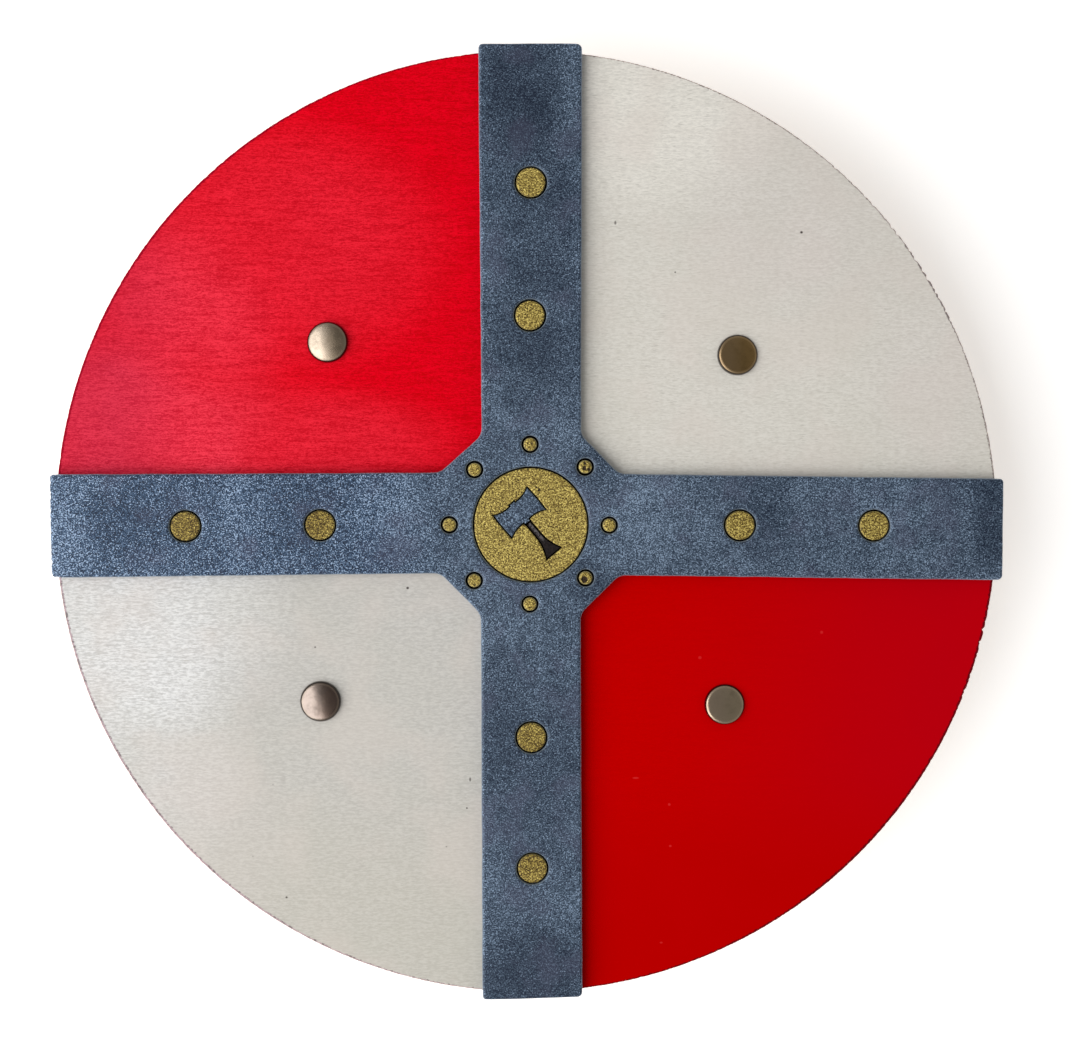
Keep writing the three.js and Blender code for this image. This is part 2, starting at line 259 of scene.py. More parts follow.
class FacePaint(Shader):
    """Satin paint on plywood: red in two quarters, off-white in two, level grain showing through."""

    def __init__(self):
        super().__init__("painted_face")
        self.x, self.y = self.axis("X"), self.axis("Y")
        self.right = self.math("GREATER_THAN", self.x, 0.0)
        self.above = self.math("GREATER_THAN", self.y, 0.0)
        self.is_white = self.math("COMPARE", self.right, self.above, 0.1)

        thin_lines = self.noise((2.0 * MM, 0.45 * MM, 1), 3, 0.7, distortion=0.8)
        broad_lines = self.noise((16 * MM, 1.6 * MM, 1), 3, 0.6, shift=(3, 5, 0))
        self.grain = self.blend(0.3, thin_lines, broad_lines)
        pore_lines = self.noise((3.4 * MM, 0.36 * MM, 1), 1, 0.5, shift=(8, 3, 0))
        self.pores = self.ramp(pore_lines, 0.6, 0.7, 0, 0.5)
        self.uneven_coat = self.ramp(self.noise(38 * MM, 3, 0.6), 0.35, 0.65)

        covered = self.under_cross()
        colour = self.mix(self.is_white, self.red(), self.white())
        colour = self.mix(covered, colour, GLUE)
        self.set("Base Color", self.with_worn_rim(self.with_dirt_and_shade_ring(colour)))
        gloss = self.add(self.times(self.is_white, 0.14), self.times(self.minus(1.0, self.right), 0.02))
        self.set("Specular IOR Level", self.times(gloss, self.minus(1.0, covered)))
        self.set("Roughness", self.ramp(self.grain, 0.3, 0.7, 0.5, 0.42))
        self.set("Normal", self.bump(self.grain, 0.3, 0.12 * MM))

    def red(self):
        """Worn and patchy at the upper left, with painted sheen there, deep and even at the lower right,
        with painted shade towards the right and the bottom.
        """
        weave = self.noise((0.7 * MM, 0.6 * MM, 1), 2, 0.6, shift=(4, 7, 0))
        stripe = self.ramp(self.blend(0.25, self.grain, weave), 0.42, 0.58)
        # Painted sheen: towards the far left the red turns duller and pinkish.
        far_left_sheen = self.ramp(self.x, -125 * MM, -165 * MM, 0, 0.75)
        pale = self.mix(far_left_sheen, self.mix(stripe, *SHEEN_RED), self.mix(stripe, *FAR_LEFT_SHEEN_RED))
        # Painted sheen: in these patches the upper left red is paler and pinkish.
        worn = self.mix(self.patches(RED_SHEEN_PATCHES), self.mix(stripe, *WORN_RED), pale)
        worn = self.mix(self.pores, worn, (0.33, 0.0, 0.006))
        deep = self.mix(stripe, *DEEP_RED)
        # Painted shade: the lower right red darkens towards the right and towards the bottom.
        deep = self.mix(self.ramp(self.x, 40 * MM, 180 * MM), deep, (0.45, 0.0, 0.0045))
        deep = self.mix(self.ramp(self.y, -90 * MM, -150 * MM), deep, (0.44, 0.0, 0.0))
        red = self.mix(self.right, worn, deep)
        red = self.mix(self.times(self.uneven_coat, 0.15), red, (0.50, 0.0, 0.002))
        red = self.mix(self.patches(PALE_MARKS), red, (0.62, 0.03, 0.03))
        return self.mix(self.painted_reflection_line(), red, (0.40, 0.0, 0.006))

    def white(self):
        """Mottled along the grain, with painted light in paler patches, warm towards the rim, and with
        painted shade on raised fibres at the left.
        """
        streaks = self.noise((2.4 * MM, 0.8 * MM, 1), 3, 0.65, shift=(6, 6, 6))
        mottle = self.ramp(self.blend(0.5, self.grain, streaks), 0.42, 0.58)
        low_down = self.ramp(self.y, -80 * MM, -150 * MM, 0, 0.7)
        lower = self.mix(low_down, self.mix(mottle, *LOWER_WHITE), self.mix(mottle, *LOWEST_WHITE))
        white = self.mix(self.right, lower, self.mix(mottle, *UPPER_WHITE))
        # Painted light: in these patches the white is paler.
        pale = self.mix(self.right, self.mix(mottle, *LIT_LOWER_WHITE), self.mix(mottle, *LIT_UPPER_WHITE))
        white = self.mix(self.patches(WHITE_LIGHT_PATCHES), white, pale)
        white = self.mix(self.pores, white, (0.40, 0.38, 0.345))
        blush = self.ramp(self.noise(30 * MM, 2, 0.5, shift=(9, 4, 0)), 0.45, 0.65, 0, 0.3)
        white = self.mix(blush, white, (0.64, 0.57, 0.525))
        white = self.mix(self.patches(WARM_WHITE_PATCHES), white, self.mix(mottle, *WARM_WHITE))
        white = self.mix(self.times(self.uneven_coat, 0.14), white, (0.50, 0.49, 0.42))
        # Painted shade: raised fibres at the lower left are darkened, as the light from the left shows them.
        fibre = self.ramp(self.noise((7 * MM, 0.4 * MM, 1), 2, 0.6, shift=(2, 2, 5)), 0.58, 0.7)
        white = self.mix(self.times(fibre, self.patches(FIBRE_SHADE_PATCHES)), white, (0.34, 0.32, 0.30))
        return self.mix(self.patches(DARK_MARKS), white, (0.05, 0.04, 0.035))

    def painted_reflection_line(self):
        """A faint dark line in the upper half: a painted reflection of a straight edge in the gloss."""
        rise = self.times(self.minus(self.x, REFLECTION_X), REFLECTION_RISE)
        aside = self.math("ABSOLUTE", self.minus(rise, self.minus(self.y, REFLECTION_Y)))
        return self.times(self.ramp(aside, 0.6 * MM, 0.1 * MM, 0, 0.22), self.above)

    def under_cross(self):
        """1 under the cross, where the board is unpainted and dark with glue."""
        across, up = self.math("ABSOLUTE", self.x), self.math("ABSOLUTE", self.y)
        in_arm = self.math("LESS_THAN", self.math("MINIMUM", across, up), COVERED_BY_ARM)
        in_middle = self.math("LESS_THAN", self.add(across, up), COVERED_BY_MIDDLE)
        return self.math("MAXIMUM", in_arm, in_middle)

    def with_dirt_and_shade_ring(self, colour):
        """The colour darkened in a ring around the rivets' caps: settled dirt and a painted contact shadow.
        """
        distances = [self.distance_to(place.x, place.y) for place in RIVET_PLACES]
        nearest = distances[0]
        for distance in distances[1:]:
            nearest = self.math("MINIMUM", nearest, distance)
        dirt_and_shade = self.mix(self.is_white, (0.10, 0.0, 0.002), (0.07, 0.052, 0.042))
        return self.mix(self.ramp(nearest, 8.2 * MM, 7.7 * MM, 0, 0.9), colour, dirt_and_shade)

    def with_worn_rim(self, colour):
        """The colour with the arris rubbed bare in places, and dirty where it is knocked."""
        fray = self.noise(1.1 * MM, 3, 0.65, shift=(1, 8, 2))
        to_side = self.ramp(self.math("ABSOLUTE", self.x), 20 * MM, 150 * MM)
        knocked = self.patches(KNOCKS)
        reach = self.add(self.times(fray, 1.7 * MM), self.times(self.add(to_side, knocked), 0.45 * MM))
        outward = self.add(self.distance_to(0, 0), reach)
        worn = self.ramp(outward, BOARD_RADIUS + 0.05 * MM, BOARD_RADIUS + 0.45 * MM, 0, 0.85)
        dirty = self.ramp(self.add(fray, self.times(knocked, 0.3)), 0.48, 0.62)
        rubbed_white = self.mix(self.right, (0.42, 0.29, 0.33), (0.36, 0.32, 0.29))
        rubbed_white = self.mix(dirty, rubbed_white, (0.12, 0.09, 0.095))
        rubbed_red = self.mix(self.right, (0.25, 0.0, 0.012), (0.07, 0.003, 0.006))
        return self.mix(worn, colour, self.mix(self.is_white, rubbed_red, rubbed_white))


# ---------------------------------------------------------------- other materials


def ply_rim():
    """The board's edge: layers of veneer under thin, worn paint."""
    rim = Shader("ply_rim", Specular_IOR_Level=0.25)
    veneer = 2.4 * MM
    layer = rim.math("SINE", rim.times(rim.minus(rim.axis("Z"), BACK), 2 * math.pi / veneer))
    fibre = rim.noise((3 * MM, 3 * MM, 0.3 * MM), 3, 0.6)
    wood = rim.mix(rim.ramp(layer, -0.35, 0.35), (0.40, 0.25, 0.13), (0.62, 0.45, 0.27))
    wood = rim.mix(rim.ramp(fibre, 0.35, 0.7, 0, 0.6), wood, (0.25, 0.14, 0.07))
    white_quarter = rim.math("GREATER_THAN", rim.times(rim.axis("X"), rim.axis("Y")), 0.0)
    coat = rim.mix(white_quarter, (0.42, 0.006, 0.012), (0.55, 0.42, 0.38))
    worn = rim.noise(2.5 * MM, 4, 0.65)
    height = rim.ramp(rim.axis("Z"), FACE - 4 * MM, FACE, -0.2, 0.32)
    covered = rim.ramp(rim.add(worn, height), 0.47, 0.6)
    rim.set("Base Color", rim.mix(covered, wood, coat))
    rim.set("Roughness", 0.6)
    rim.set("Normal", rim.bump(rim.add(fibre, layer), 0.25, 0.15 * MM))
    return rim.material


def bare_birch():
    """The back of the board: plain sealed plywood."""
    birch = Shader("bare_birch", Specular_IOR_Level=0.3)
    waves = birch.noise((120 * MM, 14 * MM, 1), 3, 0.5, distortion=0.6)
    rings = birch.noise((70 * MM, 2.6 * MM, 1), 4, 0.6, shift=(4, 1, 0), distortion=0.3)
    fibre = birch.noise((9 * MM, 0.5 * MM, 1), 3, 0.6)
    colour = birch.mix(birch.ramp(rings, 0.35, 0.65), (0.52, 0.36, 0.20), (0.70, 0.53, 0.33))
    colour = birch.mix(birch.ramp(waves, 0.4, 0.7, 0, 0.5), colour, (0.60, 0.40, 0.22))
    colour = birch.mix(birch.ramp(fibre, 0.45, 0.7, 0, 0.45), colour, (0.38, 0.24, 0.12))
    flecks = birch.specks(26 * MM, 0.8 * MM, 0.3)
    colour = birch.mix(birch.times(flecks, 0.6), colour, (0.16, 0.09, 0.04))
    birch.set("Base Color", colour)
    birch.set("Roughness", birch.ramp(rings, 0.3, 0.7, 0.6, 0.45))
    birch.set("Normal", birch.bump(fibre, 0.2, 0.1 * MM))
    return birch.material


# Soft darker (negative) and lighter patches in the blue paint: x, y, reach in x and y (mm), share.
BLUE_PATCHES = (
    (-152, 2, 26, 18, -0.55), (-113, 3, 9, 26, 0.4), (-84, 2, 20, 24, -0.3), (-55, 6, 20, 20, 0.4),
    (-183, -4, 16, 30, 0.6),
    (-4, 168, 22, 30, -0.9), (2, 125, 26, 40, -0.5), (0, 80, 26, 30, -0.4), (2, 60, 26, 24, -0.3),
    (45, 4, 24, 26, 0.25), (92, 4, 16, 22, -0.5), (126, 0, 34, 30, 0.1), (180, 4, 9, 30, -0.7),
    (22, 22, 10, 10, -0.5), (22, -22, 11, 11, -0.6),
    (-12, -76, 12, 38, -0.3), (0, -100, 26, 60, -0.35), (0, -176, 30, 26, -0.75),
    (-5, 4, 17, 17, -0.2), (-4, 5, 8, 8, 0.38),
)

# The same for the gold paint, which is darker on the studs of some arms.
GOLD_PATCHES = (
    (-108, 0, 50, 16, -0.9), (0, -110, 16, 50, -0.6), (108, 0, 50, 16, -0.25), (0, 108, 16, 50, -0.1),
)


def near(node, right, up, radius, depth):
    """A dent beside the middle of a stud or disc: x, y, reach in x and y (mm) and share."""
    place = middle(node) / MM
    return (place.x + right, place.y + up, radius, radius, depth)


# Nicks left by the cutter in the disc and in some studs of the ring.
GOLD_DENTS = (
    near("centre_disc", 3.3, 13.6, 0.7, 1.0),
    near("centre_disc", 2.2, 14.6, 0.45, 0.7),
    near("ring_stud_2", -0.4, -0.5, 1.1, 1.0),
    near("ring_stud_2", -0.2, 1.3, 0.7, 1.0),
    near("ring_stud_2", 1.4, -1.0, 0.8, 1.0),
    near("ring_stud_8", -0.5, -0.6, 1.6, 1.5),
    near("ring_stud_6", 0.3, -1.6, 0.8, 0.5),
    near("ring_stud_3", 0.6, 0.5, 0.6, 0.5),
)

# How much of a patch's share reaches the tone of the foam's paint.
PATCH_STRENGTH = 0.16
VIOLET = (0.062, 0.066, 0.115)
DENT_MARK_AND_SHADE = (0.020, 0.007, 0.003)


def foam_paint(name, tones, speckle_and_glint, blotched, lip, patches, lit_left_tones=None, violet=0.0, dents=()):
    """Metallic paint sprayed on the open skin of craft foam, thinner on the rounded lips.

    The tones are its dark, middle and light one. The left arm carries painted glints and sheen: its speckle
    has the second strength and, if given, its own lighter middle and light tone, with sparser bright specks.
    """
    foam = Shader(name, Metallic=0.3, Specular_IOR_Level=0.35)
    x, z = foam.axis("X"), foam.axis("Z")
    # Painted glints and sheen at the left end: the speckle grows stronger towards it.
    at_left = foam.ramp(x, -20 * MM, -70 * MM)
    speckle_and_glint_here = foam.ramp(x, -20 * MM, -70 * MM, *speckle_and_glint)
    grit = foam.noise(0.5 * MM, 1, 0.6)
    flake = foam.lot(foam.cells(0.42 * MM))
    blotch = foam.noise(9 * MM, 3, 0.6, shift=(2, 9, 0))
    cloud = foam.noise(26 * MM, 2, 0.5, shift=(5, 1, 0))

    fine = foam.add(foam.minus(grit, 0.5), foam.times(foam.minus(flake, 0.5), 0.35))
    broad = foam.add(foam.minus(blotch, 0.5), foam.times(foam.minus(cloud, 0.5), 0.6))
    tone = foam.add(foam.times(fine, speckle_and_glint_here), foam.times(broad, blotched))
    tone = foam.add(tone, foam.times(foam.patches(patches), PATCH_STRENGTH))
    low = foam.ramp(tone, -0.22, 0.0)
    dark, middle_tone, light = tones
    # Painted sheen at the left end: lighter middle and light tones, with sparser bright specks.
    if lit_left_tones:
        middle_tone = foam.mix(at_left, middle_tone, lit_left_tones[0])
        light = foam.mix(at_left, light, lit_left_tones[1])
        tone = foam.minus(tone, foam.times(at_left, 0.13))
    high = foam.ramp(tone, 0.0, 0.26)
    colour = foam.mix(high, foam.mix(low, dark, middle_tone), light)
    if violet:
        tint = foam.ramp(foam.noise(16 * MM, 2, 0.5, shift=(7, 7, 0)), 0.5, 0.7, 0, violet)
        colour = foam.mix(tint, colour, VIOLET)

    pits = foam.bump(grit, 0.6, 0.25 * MM)
    if dents:
        ragged = foam.minus(foam.noise(0.9 * MM, 2, 0.6, shift=(3, 3, 3)), 0.5)
        dent = foam.times(foam.patches(dents), foam.add(1.0, foam.times(ragged, 2.5)))
        # The nicks are dark: partly dark marks, partly painted shade in their hollows.
        colour = foam.mix(foam.ramp(dent, 0.2, 0.6, 0, 0.95), colour, DENT_MARK_AND_SHADE)
        pits = foam.bump(foam.minus(1.0, dent), 1.0, 0.6 * MM, under=pits)
    on_lip = foam.ramp(z, FOAM_TOP - 0.22 * MM, FOAM_TOP - 0.5 * MM, 0, 0.5)
    off_wall = foam.ramp(z, FOAM_TOP - 1.6 * MM, FOAM_TOP - 1.1 * MM)
    foam.set("Base Color", foam.mix(foam.times(on_lip, off_wall), colour, lip))
    foam.set("Roughness", foam.ramp(flake, 0.0, 1.0, 0.4, 0.6))
    foam.set("Normal", foam.bump(foam.noise(7 * MM, 2, 0.5), 0.25, 0.4 * MM, under=pits))
    return foam.material


def dark_foam():
    """Near-black foam, scuffed grey along the middle of the haft."""
    foam = Shader("dark_foam", Specular_IOR_Level=0.15)
    grit = foam.noise(0.7 * MM, 3, 0.6)
    right, up = foam.minus(foam.axis("X"), AXE_EYE.x), foam.minus(foam.axis("Y"), AXE_EYE.y)
    down = foam.add(foam.times(right, AXE_DOWN.x), foam.times(up, AXE_DOWN.y))
    aside = foam.minus(foam.times(right, AXE_DOWN.y), foam.times(up, AXE_DOWN.x))
    in_line = foam.ramp(foam.math("ABSOLUTE", aside), 0.8 * MM, 0.3 * MM)
    scuffed = foam.times(in_line, foam.ramp(down, 16 * MM, 13 * MM))
    colour = foam.mix(foam.ramp(grit, 0.4, 0.7), (0.005, 0.003, 0.003), (0.022, 0.015, 0.015))
    colour = foam.mix(foam.times(scuffed, foam.ramp(grit, 0.4, 0.6, 0.1, 1.0)), colour, (0.11, 0.10, 0.105))
    foam.set("Base Color", colour)
    foam.set("Roughness", 0.6)
    foam.set("Normal", foam.bump(grit, 0.3, 0.12 * MM))
    return foam.material


def aged_brass(name, lit_left_colour, shaded_right_colour, centre_x, roughness):
    """Antique brass: patina, lighter on the left as a painted highlight and darker on the right as painted
    shade, scratches, a few pits, and black in the rolled edge, partly painted shade.
    """
    brass = Shader(name, Metallic=1.0)
    patina = brass.noise(3.5 * MM, 3, 0.6)
    fine = brass.noise(0.7 * MM, 2, 0.6)
    scratch = brass.noise((7 * MM, 0.3 * MM, 3 * MM), 2, 0.6, distortion=1.0)
    edge = brass.attribute("edge_share")
    across = brass.add(brass.axis("X"), brass.times(brass.minus(patina, 0.5), 4 * MM))
    # Painted highlight and shade: the left takes the lighter colour, the right the darker one.
    colour = brass.mix(brass.ramp(across, centre_x - 4 * MM, centre_x + 4 * MM), lit_left_colour, shaded_right_colour)
    dull = brass.mix(0.4, colour, (0, 0, 0))
    colour = brass.mix(brass.ramp(patina, 0.4, 0.75, 0, 0.6), colour, dull)
    colour = brass.mix(brass.ramp(fine, 0.7, 0.78, 0, 0.6), colour, (0.06, 0.04, 0.03))
    colour = brass.mix(brass.ramp(edge, 0.84, 0.9, 0, 0.25), colour, (0.30, 0.25, 0.19))
    # Black in the rolled edge: dark patina and painted shade at the cap's foot.
    colour = brass.mix(brass.ramp(edge, 0.93, 0.975), colour, (0.025, 0.016, 0.012))
    brass.set("Base Color", colour)
    rough = brass.ramp(patina, 0.3, 0.7, 0.8 * roughness, 1.2 * roughness)
    brass.set("Roughness", brass.add(rough, brass.ramp(edge, 0.8, 0.92, 0, 0.15)))
    brass.set("Normal", brass.bump(brass.add(scratch, brass.times(fine, 0.4)), 0.14, 0.04 * MM))
    return brass.material


def strap_leather():
    """Brown strap leather: pebbled grain, a stitch-like crease and burnished edges."""
    leather = Shader("strap_leather", Specular_IOR_Level=0.4)
    pebble = leather.cells(1.1 * MM, "DISTANCE_TO_EDGE").outputs["Distance"]
    pores = leather.noise(0.5 * MM, 3, 0.6)
    cloud = leather.noise(22 * MM, 3, 0.6)
    edge = leather.attribute("edge_share")
    crease = leather.times(leather.ramp(edge, 0.76, 0.8), leather.ramp(edge, 0.84, 0.8))
    colour = leather.mix(leather.ramp(cloud, 0.3, 0.7), (0.105, 0.042, 0.018), (0.20, 0.088, 0.038))
    colour = leather.mix(leather.ramp(pebble, 0.12, 0.0, 0, 0.45), colour, (0.05, 0.02, 0.01))
    colour = leather.mix(leather.ramp(edge, 0.86, 0.97), colour, (0.035, 0.016, 0.009))
    colour = leather.mix(leather.times(crease, 0.6), colour, (0.04, 0.017, 0.009))
    leather.set("Base Color", colour)
    leather.set("Roughness", leather.ramp(cloud, 0.3, 0.7, 0.58, 0.44))
    height = leather.add(leather.ramp(pebble, 0.0, 0.25), leather.times(pores, 0.6))
    grain = leather.bump(height, 0.35, 0.15 * MM)
    leather.set("Normal", leather.bump(leather.minus(1.0, crease), 0.8, 0.5 * MM, under=grain))
    return leather.material


PAINTED_FACE = FacePaint().material
PLY_RIM = ply_rim()
BARE_BIRCH = bare_birch()
BLUE_FOAM = foam_paint(
    "blue_foam",
    tones=((0.006, 0.014, 0.034), (0.050, 0.079, 0.122), (0.25, 0.34, 0.47)),
    lit_left_tones=((0.039, 0.078, 0.146), (0.36, 0.48, 0.66)),
    speckle_and_glint=(0.88, 1.7),
    blotched=0.2,
    lip=(0.34, 0.41, 0.50),
    patches=BLUE_PATCHES,
    violet=0.35,
)
GOLD_FOAM = foam_paint(
    "gold_foam",
    tones=((0.05, 0.028, 0.003), (0.272, 0.195, 0.040), (0.76, 0.62, 0.18)),
    speckle_and_glint=(1.0, 1.0),
    blotched=0.06,
    lip=(0.62, 0.54, 0.30),
    patches=GOLD_PATCHES,
    dents=GOLD_DENTS,
)
DARK_FOAM = dark_foam()
WASHER_BRASS = aged_brass("washer_brass", (0.34, 0.26, 0.16), (0.30, 0.22, 0.13), 0.0, 0.28)
LEATHER = strap_leather()


# ---------------------------------------------------------------- mesh helpers

# Faces flatter than this are level: their normal's height is next to 1.
LEVEL = 0.9999
# Points of a frame mesh closer than this are the same point.
SAME_PLACE = 0.001 * MM
# An outline whose radius varies by less than this is a circle, drawn with at least so many sides.
ROUND_WITHIN = 0.02 * MM
FEWEST_SIDES = 48


def add_piece(name, mesh, replaced, materials):
    """A finished mesh as a piece of the shield, standing for its CAD nodes."""
    piece = bpy.data.objects.new(name, mesh)
    bpy.context.scene.collection.objects.link(piece)
    for material in materials:
        mesh.materials.append(material)
    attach(piece, "root")
    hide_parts(*replaced)


def mesh_from(form, name, smooth_angle=math.radians(40)):
    """A bmesh as a mesh, smooth but for level faces and edges sharper than the angle."""
    bmesh.ops.recalc_face_normals(form, faces=form.faces)
    for face in form.faces:
        face.smooth = abs(face.normal.z) < LEVEL
    for edge in form.edges:
        edge.smooth = len(edge.link_faces) == 2 and edge.calc_face_angle(0) < smooth_angle
    mesh = bpy.data.meshes.new(name)
    form.to_mesh(mesh)
    form.free()
    return mesh


def foot_loops(node):
    """The outlines of a node's flat underside, holes included, as closed lists of 2-D points."""
    form = bmesh.new()
    form.from_mesh(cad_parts[node].data)
    bmesh.ops.remove_doubles(form, verts=form.verts, dist=SAME_PLACE)
    low = min(v.co.z for v in form.verts)
    foot = {f for f in form.faces if all(v.co.z < low + SAME_PLACE for v in f.verts)}
    links = {}
    for edge in form.edges:
        if sum(f in foot for f in edge.link_faces) == 1:
            for a, b in (edge.verts, reversed(edge.verts)):
                links.setdefault(a, []).append(b)
    loops = []
    while links:
        start = next(iter(links))
        loop, previous, here = [], None, start
        while here in links:
            loop.append(here.co.xy.copy())
            onward = [v for v in links.pop(here) if v is not previous]
            previous, here = here, onward[0]
        loops.append(loop)
    form.free()
    return loops


def as_circle(loop):
    """(middle, radius) if the outline is a circle, else None."""
    centre = sum(loop, Vector((0, 0))) / len(loop)
    radii = [(p - centre).length for p in loop]
    if max(radii) - min(radii) < ROUND_WITHIN:
        return centre, radii[0]
    return None


def turn_at(before, here, after):
    """How far the outline turns at a point, in radians."""
    return abs((here - before).angle_signed(after - here, 0))


def corner_cut(loop, sharp=math.radians(38)):
    """One pass of corner cutting, which leaves sharp corners where they are."""
    cut = []
    for i, here in enumerate(loop):
        before, after = loop[i - 1], loop[(i + 1) % len(loop)]
        if turn_at(before, here, after) > sharp:
            cut.append(here)
        else:
            cut.extend((here.lerp(before, 0.25), here.lerp(after, 0.25)))
    return cut


def resampled(loop, step):
    """The same outline with a point at least every step."""
    points = []
    for i, here in enumerate(loop):
        after = loop[(i + 1) % len(loop)]
        count = max(1, math.ceil((after - here).length / step))
        points.extend(here.lerp(after, k / count) for k in range(count))
    return points


def smooth_outline(loop, step):
    """An outline from the frame, made round where it is round."""
    circle = as_circle(loop)
    if circle:
        centre, radius = circle
        count = max(FEWEST_SIDES, math.ceil(2 * math.pi * radius / step))
        angles = [2 * math.pi * k / count for k in range(count)]
        return [centre + radius * Vector((math.cos(a), math.sin(a))) for a in angles]
    return resampled(corner_cut(corner_cut(loop)), step)


def signed_area(loop):
    """The area inside an outline, positive if it runs anticlockwise."""
    return sum(a.cross(b) for a, b in zip(loop, loop[1:] + loop[:1])) / 2


def largest(loops):
    """The outline around all the others."""
    return max(loops, key=lambda loop: abs(signed_area(loop)))


def inward(loop, hole):
    """For each point, how it moves for an inset of 1 into the material, and at most 2 at a corner."""
    turn = -1 if (signed_area(loop) > 0) == hole else 1
    moves = []
    for i, here in enumerate(loop):
        first = (here - loop[i - 1]).normalized()
        second = (loop[(i + 1) % len(loop)] - here).normalized()
        normals = [Vector((-d.y, d.x)) * turn for d in (first, second)]
        total = normals[0] + normals[1]
        half = max(total.length / 2, 0.5)
        moves.append(total.normalized() / half)
    return moves


def drift(point, size, layer):
    """Noise from -1 to 1 over the face, with a grain of about the size; each layer has its own."""
    return noise.noise(Vector((point.x / size, point.y / size, layer)))


def eased_profile(low, high, low_ease, high_ease, steps):
    """(inset, height) pairs up the side of a slab with a round top and, if wanted, a round foot."""
    quarter = [math.pi / 2 * i / steps for i in range(steps + 1)]
    profile = []
    if low_ease:
        profile += [(low_ease * (1 - math.sin(a)), low + low_ease * (1 - math.cos(a))) for a in quarter]
    else:
        profile.append((0.0, low))
    profile += [(high_ease * (1 - math.cos(a)), high - high_ease * (1 - math.sin(a))) for a in quarter]
    return profile


def slab(loops, profile):
    """A flat piece with the given outlines, the largest of which is the outer one."""
    form = bmesh.new()
    outer = largest(loops)
    foot_edges, top_edges = [], []
    for loop in loops:
        moves = inward(loop, loop is not outer)
        rings = [
            [form.verts.new((*(point + move * inset), height)) for point, move in zip(loop, moves)]
            for inset, height in profile
        ]
        for below, above in zip(rings, rings[1:]):
            for i in range(len(loop)):
                form.faces.new((below[i - 1], below[i], above[i], above[i - 1]))
        for edges, ring in ((foot_edges, rings[0]), (top_edges, rings[-1])):
            edges += [form.edges.get((ring[i - 1], ring[i])) for i in range(len(loop))]
    for edges in (foot_edges, top_edges):
        bmesh.ops.triangle_fill(form, edges=edges, use_beauty=True, use_dissolve=False)
    return form


def turned(profile, centre, sides=64):
    """A solid of revolution from (radius, height) pairs that start and end on the axis or close."""
    form = bmesh.new()
    angles = [2 * math.pi * i / sides for i in range(sides)]
    rings = []
    for radius, height in profile:
        if radius == 0:
            rings.append([form.verts.new((centre.x, centre.y, height))])
            continue
        rings.append([
            form.verts.new((centre.x + radius * math.cos(a), centre.y + radius * math.sin(a), height))
            for a in angles
        ])
    closed = profile[0][0] > 0
    for below, above in zip(rings, rings[1:] + (rings[:1] if closed else [])):
        for i in range(sides):
            lower = below if len(below) == 1 else [below[i - 1], below[i]]
            upper = above if len(above) == 1 else [above[i], above[i - 1]]
            form.faces.new(lower + upper)
    return form


# ---------------------------------------------------------------- board

# The CAD board's underside is smaller than the board by this arris.
BOARD_ARRIS = 0.6 * MM
BOARD_STEP = 0.7 * MM
BACK_EASE, FACE_EASE = 0.5 * MM, 0.45 * MM

# How deep the rim is worn: rough all round, sanded back and torn in places.
RIM_GRAIN = 1.6 * MM
ROUGH_DEPTH, SANDED_DEPTH, TORN_DEPTH = 0.3 * MM, 0.45 * MM, 1.3 * MM
# Degrees anticlockwise from the right: the sanded place, and the torn ones with their spread.
SANDED_AT = 38
TORN_AT = ((34, 14), (-16, 7))

# A face of the board belongs to its front or back if its normal is this upright.
UPRIGHT = 0.75


def worn_rim(outline):
    """The sawn rim: rough all round, sanded back at the upper right and nicked at the right."""
    rim = []
    for point in outline:
        angle = math.degrees(math.atan2(point.y, point.x))
        rough = abs(drift(point, RIM_GRAIN, 3)) * ROUGH_DEPTH
        sanded = max(0.0, math.cos(math.radians(angle - SANDED_AT))) ** 4 * SANDED_DEPTH
        torn_here = sum(math.exp(-((angle - at) / spread) ** 2) for at, spread in TORN_AT)
        torn = max(0.0, drift(point, RIM_GRAIN, 7)) * TORN_DEPTH * torn_here
        rim.append(point * (1 - (rough + sanded + torn) / BOARD_RADIUS))
    return rim


def make_board():
    """The round board, with its drilled holes: painted in front, bare behind."""
    loops = []
    for loop in foot_loops("board"):
        centre, radius = as_circle(loop)
        hole = radius < BOARD_RADIUS / 2
        full_radius = radius - BOARD_ARRIS if hole else radius + BOARD_ARRIS
        points = smooth_outline(loop, BOARD_STEP)
        outline = [centre + (p - centre).normalized() * full_radius for p in points]
        loops.append(outline if hole else worn_rim(outline))
    mesh = mesh_from(slab(loops, eased_profile(BACK, FACE, BACK_EASE, FACE_EASE, 3)), "painted_board")
    in_front, around, behind = 0, 1, 2
    for face in mesh.polygons:
        if face.normal.z > UPRIGHT:
            face.material_index = in_front
        elif face.normal.z < -UPRIGHT:
            face.material_index = behind
        else:
            face.material_index = around
    add_piece("painted_board", mesh, ["board"], [PAINTED_FACE, PLY_RIM, BARE_BIRCH])


# ---------------------------------------------------------------- foam

# The cut edge of the cross wanders by up to this, in waves of about this length.
WANDER, WANDER_LENGTH = 0.2 * MM, 14 * MM
# It is torn by up to this, in tears of this size, beyond this place at the far left.
TEAR_DEPTH, TEAR_SIZE = 0.7 * MM, 0.9 * MM
TEARS_START, TEARS_FULL = 182 * MM, 185 * MM


